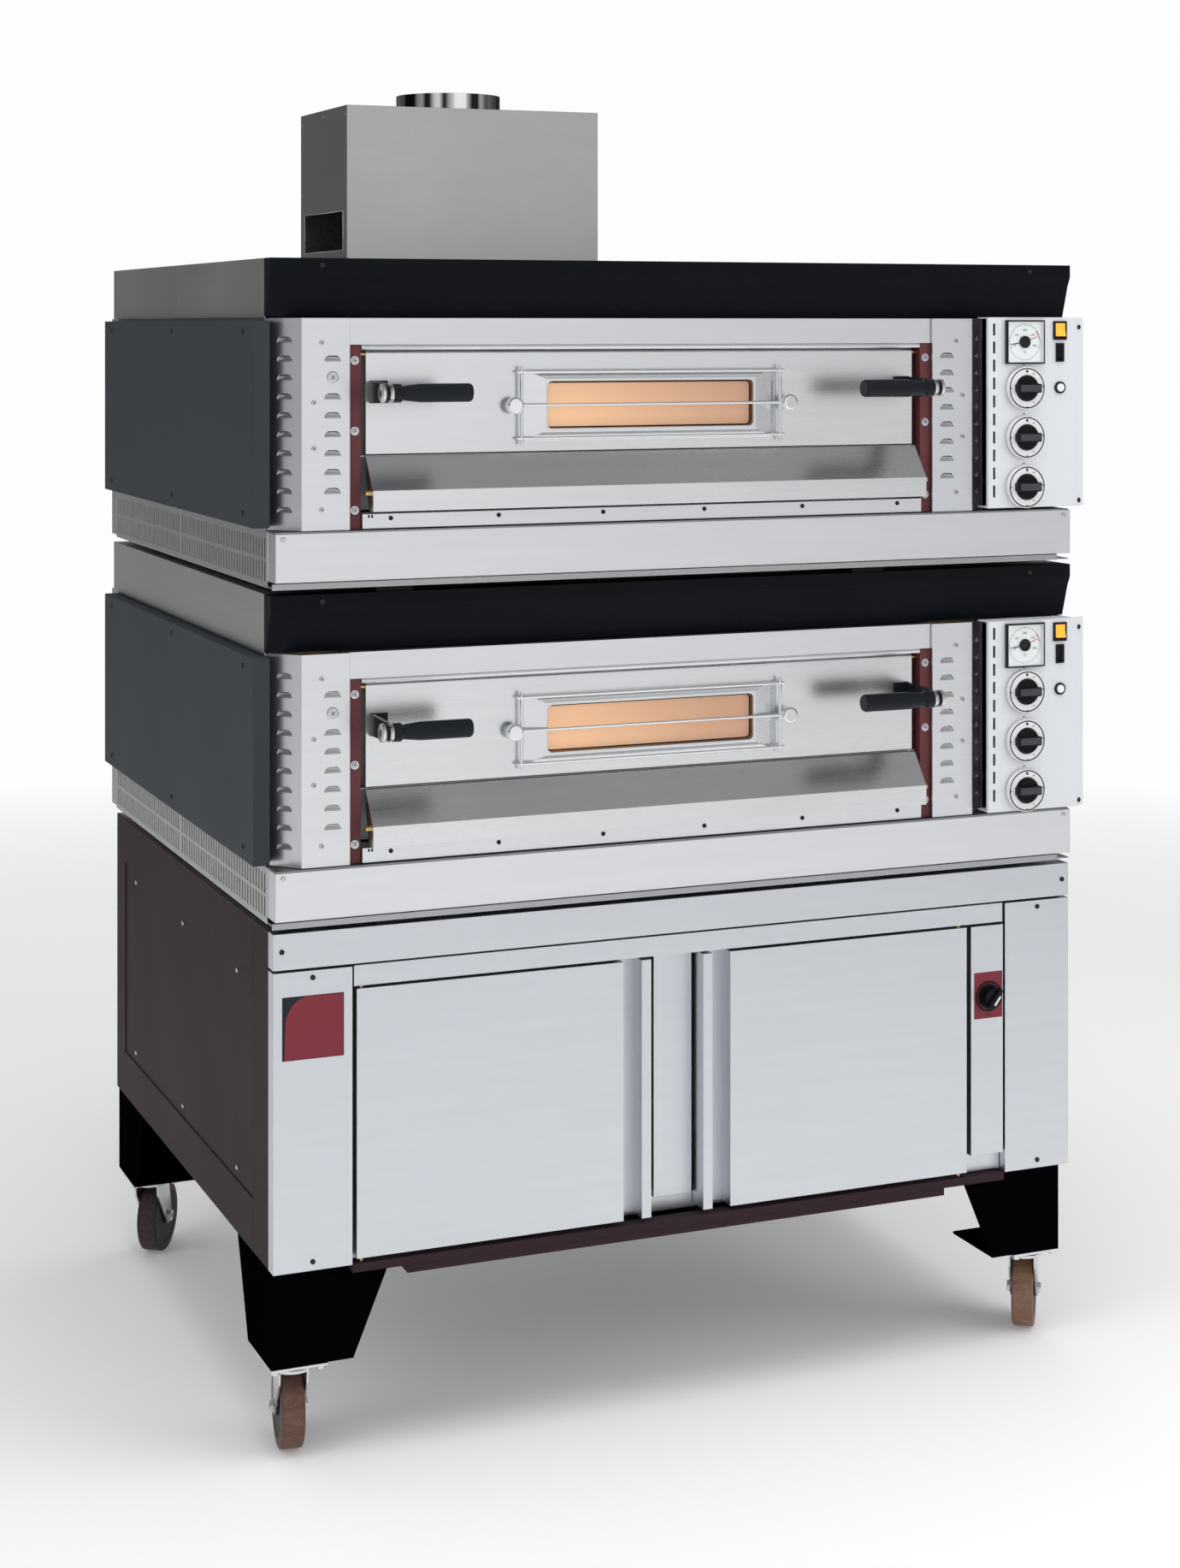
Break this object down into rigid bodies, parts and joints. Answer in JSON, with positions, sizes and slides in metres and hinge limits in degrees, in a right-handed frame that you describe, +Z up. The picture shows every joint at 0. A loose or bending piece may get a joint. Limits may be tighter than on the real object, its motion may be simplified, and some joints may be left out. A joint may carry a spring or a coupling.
{
  "type": "double-deck gas pizza oven on a castored prover cabinet",
  "caption": "Stacked stone-hearth gas pizza oven with hinged windowed doors, on a two-door prover cabinet with swivel castors, under a flue hood.",
  "frame": {"origin": "on the floor under the middle of the object's bounding box", "axes": "+X to the right along the front, +Y from the front to the rear, +Z up"},
  "size_m": [1.424, 1.215, 2.1285],
  "materials": {
    "brushed_front": "fine horizontal brush",
    "black_paint": "satin black powder coat",
    "maroon_sides": "satin maroon paint",
    "maroon_strips": "satin maroon paint",
    "grey_covers": "plain rolled sheet",
    "galvanised": "galvanised sheet",
    "hood_steel": "brushed sheet",
    "collar_steel": "bright sheet",
    "panel_white": "satin white paint",
    "instrument_bodies": "moulded",
    "knob_black": "moulded",
    "lamp_amber": "translucent moulded",
    "rocker_black": "moulded",
    "button_white": "moulded",
    "needle_black": "satin",
    "door_glass": "clear, tinted by the lit chamber",
    "chrome_fittings": "polished",
    "pin_brass": "turned",
    "screw_black": "blackened heads",
    "pad_rubber": "moulded",
    "hearth_stone": "fired clay",
    "wool": "mineral wool",
    "burner_steel": "heat-tinted",
    "zinc_plate": "bright zinc",
    "wheel_red_brown": "moulded"
  },
  "bodies": {
    "oven": {"baking_chambers": "galvanised", "base_fascias": "brushed_front", "cabinet_casing": "maroon_sides", "cabinet_frame": "galvanised", "cabinet_front_panels": "brushed_front", "castor_plates": "zinc_plate", "control_panels": "panel_white", "deck_chassis": "galvanised", "deck_covers": "grey_covers", "deck_pads": "pad_rubber", "flue_collar": "collar_steel", "flue_hood": "hood_steel", "front_bands": "black_paint", "gas_burners": "burner_steel", "hearth_stones": "hearth_stone", "hinge_pins": "pin_brass", "hinge_strips": "maroon_strips", "insulation": "wool", "leg_frames": "black_paint", "mouth_rails": "brushed_front", "panel_instruments": "instrument_bodies", "panel_screws": "screw_black", "pilasters": "brushed_front", "prover_heater": "burner_steel", "rear_covers": "galvanised", "side_boxes": "black_paint", "tray_runners": "galvanised"},
    "oven_door_lower": {"oven_door_lower": "brushed_front", "door_glass_lower": "door_glass", "door_fittings_lower": "chrome_fittings"},
    "shelf_flap_lower": {"shelf_flap_lower": "brushed_front"},
    "control_knob_lower_1": {"control_knob_lower_1": "knob_black"},
    "control_knob_lower_2": {"control_knob_lower_2": "knob_black"},
    "control_knob_lower_3": {"control_knob_lower_3": "knob_black"},
    "lamp_rocker_lower": {"lamp_rocker_lower": "lamp_amber"},
    "light_rocker_lower": {"light_rocker_lower": "rocker_black"},
    "igniter_button_lower": {"igniter_button_lower": "button_white"},
    "gauge_needle_lower": {"gauge_needle_lower": "needle_black"},
    "oven_door_upper": {"oven_door_upper": "brushed_front", "door_glass_upper": "door_glass", "door_fittings_upper": "chrome_fittings"},
    "shelf_flap_upper": {"shelf_flap_upper": "brushed_front"},
    "control_knob_upper_1": {"control_knob_upper_1": "knob_black"},
    "control_knob_upper_2": {"control_knob_upper_2": "knob_black"},
    "control_knob_upper_3": {"control_knob_upper_3": "knob_black"},
    "lamp_rocker_upper": {"lamp_rocker_upper": "lamp_amber"},
    "light_rocker_upper": {"light_rocker_upper": "rocker_black"},
    "igniter_button_upper": {"igniter_button_upper": "button_white"},
    "gauge_needle_upper": {"gauge_needle_upper": "needle_black"},
    "prover_door_left": {"prover_door_left": "brushed_front"},
    "prover_door_right": {"prover_door_right": "brushed_front"},
    "prover_knob": {"prover_knob": "knob_black"},
    "castor_fork_front_left": {"castor_fork_front_left": "zinc_plate"},
    "castor_wheel_front_left": {"castor_wheel_front_left": "wheel_red_brown"},
    "castor_fork_front_right": {"castor_fork_front_right": "zinc_plate"},
    "castor_wheel_front_right": {"castor_wheel_front_right": "wheel_red_brown"},
    "castor_fork_rear_left": {"castor_fork_rear_left": "zinc_plate"},
    "castor_wheel_rear_left": {"castor_wheel_rear_left": "wheel_red_brown"},
    "castor_fork_rear_right": {"castor_fork_rear_right": "zinc_plate"},
    "castor_wheel_rear_right": {"castor_wheel_rear_right": "wheel_red_brown"}
  },
  "joints": [
    {"name": "oven_door_lower_hinge", "type": "hinge", "parent": "oven", "child": "oven_door_lower", "pos_m": [-0.0705, -0.5005, 1.1545], "axis": [-1, 0, 0], "range_deg": [0, 90]},
    {"name": "shelf_flap_lower_hinge", "type": "hinge", "parent": "oven", "child": "shelf_flap_lower", "pos_m": [-0.0705, -0.5365, 0.948], "axis": [1, 0, 0], "range_deg": [0, 30]},
    {"name": "control_knob_lower_1_turn", "type": "hinge", "parent": "oven", "child": "control_knob_lower_1", "pos_m": [0.584, -0.5475, 1.0945], "axis": [0, -1, 0], "range_deg": [0, 270]},
    {"name": "control_knob_lower_2_turn", "type": "hinge", "parent": "oven", "child": "control_knob_lower_2", "pos_m": [0.584, -0.5475, 1.0137], "axis": [0, -1, 0], "range_deg": [0, 270]},
    {"name": "control_knob_lower_3_turn", "type": "hinge", "parent": "oven", "child": "control_knob_lower_3", "pos_m": [0.584, -0.5475, 0.9323], "axis": [0, -1, 0], "range_deg": [0, 270]},
    {"name": "lamp_rocker_lower_tilt", "type": "hinge", "parent": "oven", "child": "lamp_rocker_lower", "pos_m": [0.6525, -0.5445, 1.1895], "axis": [1, 0, 0], "range_deg": [0, 16]},
    {"name": "light_rocker_lower_tilt", "type": "hinge", "parent": "oven", "child": "light_rocker_lower", "pos_m": [0.6525, -0.5445, 1.153], "axis": [1, 0, 0], "range_deg": [0, 16]},
    {"name": "igniter_button_lower_push", "type": "slide", "parent": "oven", "child": "igniter_button_lower", "axis": [0, 1, 0], "range_m": [0, 0.003], "stiffness_N_per_m": 400, "springref_m": -0.001},
    {"name": "gauge_needle_lower_sweep", "type": "hinge", "parent": "oven", "child": "gauge_needle_lower", "pos_m": [0.584, -0.5475, 1.1705], "axis": [0, 1, 0], "range_deg": [0, 200]},
    {"name": "oven_door_upper_hinge", "type": "hinge", "parent": "oven", "child": "oven_door_upper", "pos_m": [-0.0705, -0.5005, 1.6535], "axis": [-1, 0, 0], "range_deg": [0, 90]},
    {"name": "shelf_flap_upper_hinge", "type": "hinge", "parent": "oven", "child": "shelf_flap_upper", "pos_m": [-0.0705, -0.5365, 1.447], "axis": [1, 0, 0], "range_deg": [0, 30]},
    {"name": "control_knob_upper_1_turn", "type": "hinge", "parent": "oven", "child": "control_knob_upper_1", "pos_m": [0.584, -0.5475, 1.5935], "axis": [0, -1, 0], "range_deg": [0, 270]},
    {"name": "control_knob_upper_2_turn", "type": "hinge", "parent": "oven", "child": "control_knob_upper_2", "pos_m": [0.584, -0.5475, 1.5127], "axis": [0, -1, 0], "range_deg": [0, 270]},
    {"name": "control_knob_upper_3_turn", "type": "hinge", "parent": "oven", "child": "control_knob_upper_3", "pos_m": [0.584, -0.5475, 1.4313], "axis": [0, -1, 0], "range_deg": [0, 270]},
    {"name": "lamp_rocker_upper_tilt", "type": "hinge", "parent": "oven", "child": "lamp_rocker_upper", "pos_m": [0.6525, -0.5445, 1.6885], "axis": [1, 0, 0], "range_deg": [0, 16]},
    {"name": "light_rocker_upper_tilt", "type": "hinge", "parent": "oven", "child": "light_rocker_upper", "pos_m": [0.6525, -0.5445, 1.652], "axis": [1, 0, 0], "range_deg": [0, 16]},
    {"name": "igniter_button_upper_push", "type": "slide", "parent": "oven", "child": "igniter_button_upper", "axis": [0, 1, 0], "range_m": [0, 0.003], "stiffness_N_per_m": 400, "springref_m": -0.001},
    {"name": "gauge_needle_upper_sweep", "type": "hinge", "parent": "oven", "child": "gauge_needle_upper", "pos_m": [0.584, -0.5475, 1.6695], "axis": [0, 1, 0], "range_deg": [0, 200]},
    {"name": "prover_door_left_hinge", "type": "hinge", "parent": "oven", "child": "prover_door_left", "pos_m": [-0.5463, -0.5105, 0.305], "axis": [0, 0, -1], "range_deg": [0, 105]},
    {"name": "prover_door_right_hinge", "type": "hinge", "parent": "oven", "child": "prover_door_right", "pos_m": [0.4803, -0.5105, 0.305], "axis": [0, 0, 1], "range_deg": [0, 105]},
    {"name": "prover_knob_turn", "type": "hinge", "parent": "oven", "child": "prover_knob", "pos_m": [0.53181, -0.5225, 0.591], "axis": [0, 1, 0], "range_deg": [0, 300]},
    {"name": "castor_swivel_front_left", "type": "hinge", "parent": "oven", "child": "castor_fork_front_left", "pos_m": [-0.638, -0.4565, 0.148], "axis": [0, 0, 1], "continuous": true},
    {"name": "castor_roll_front_left", "type": "hinge", "parent": "castor_fork_front_left", "child": "castor_wheel_front_left", "pos_m": [-0.63299, -0.42085, 0.0625], "axis": [0.9903, -0.1392, 0], "continuous": true},
    {"name": "castor_swivel_front_right", "type": "hinge", "parent": "oven", "child": "castor_fork_front_right", "pos_m": [0.638, -0.4565, 0.148], "axis": [0, 0, 1], "continuous": true},
    {"name": "castor_roll_front_right", "type": "hinge", "parent": "castor_fork_front_right", "child": "castor_wheel_front_right", "pos_m": [0.65865, -0.42701, 0.0625], "axis": [0.8192, -0.5736, 0], "continuous": true},
    {"name": "castor_swivel_rear_left", "type": "hinge", "parent": "oven", "child": "castor_fork_rear_left", "pos_m": [-0.638, 0.4675, 0.148], "axis": [0, 0, 1], "continuous": true},
    {"name": "castor_roll_rear_left", "type": "hinge", "parent": "castor_fork_rear_left", "child": "castor_wheel_rear_left", "pos_m": [-0.61839, 0.49769, 0.0625], "axis": [0.8387, -0.5446, 0], "continuous": true},
    {"name": "castor_swivel_rear_right", "type": "hinge", "parent": "oven", "child": "castor_fork_rear_right", "pos_m": [0.638, 0.4675, 0.148], "axis": [0, 0, 1], "continuous": true},
    {"name": "castor_roll_rear_right", "type": "hinge", "parent": "castor_fork_rear_right", "child": "castor_wheel_rear_right", "pos_m": [0.65031, 0.50133, 0.0625], "axis": [0.9397, -0.342, 0], "continuous": true}
  ]
}
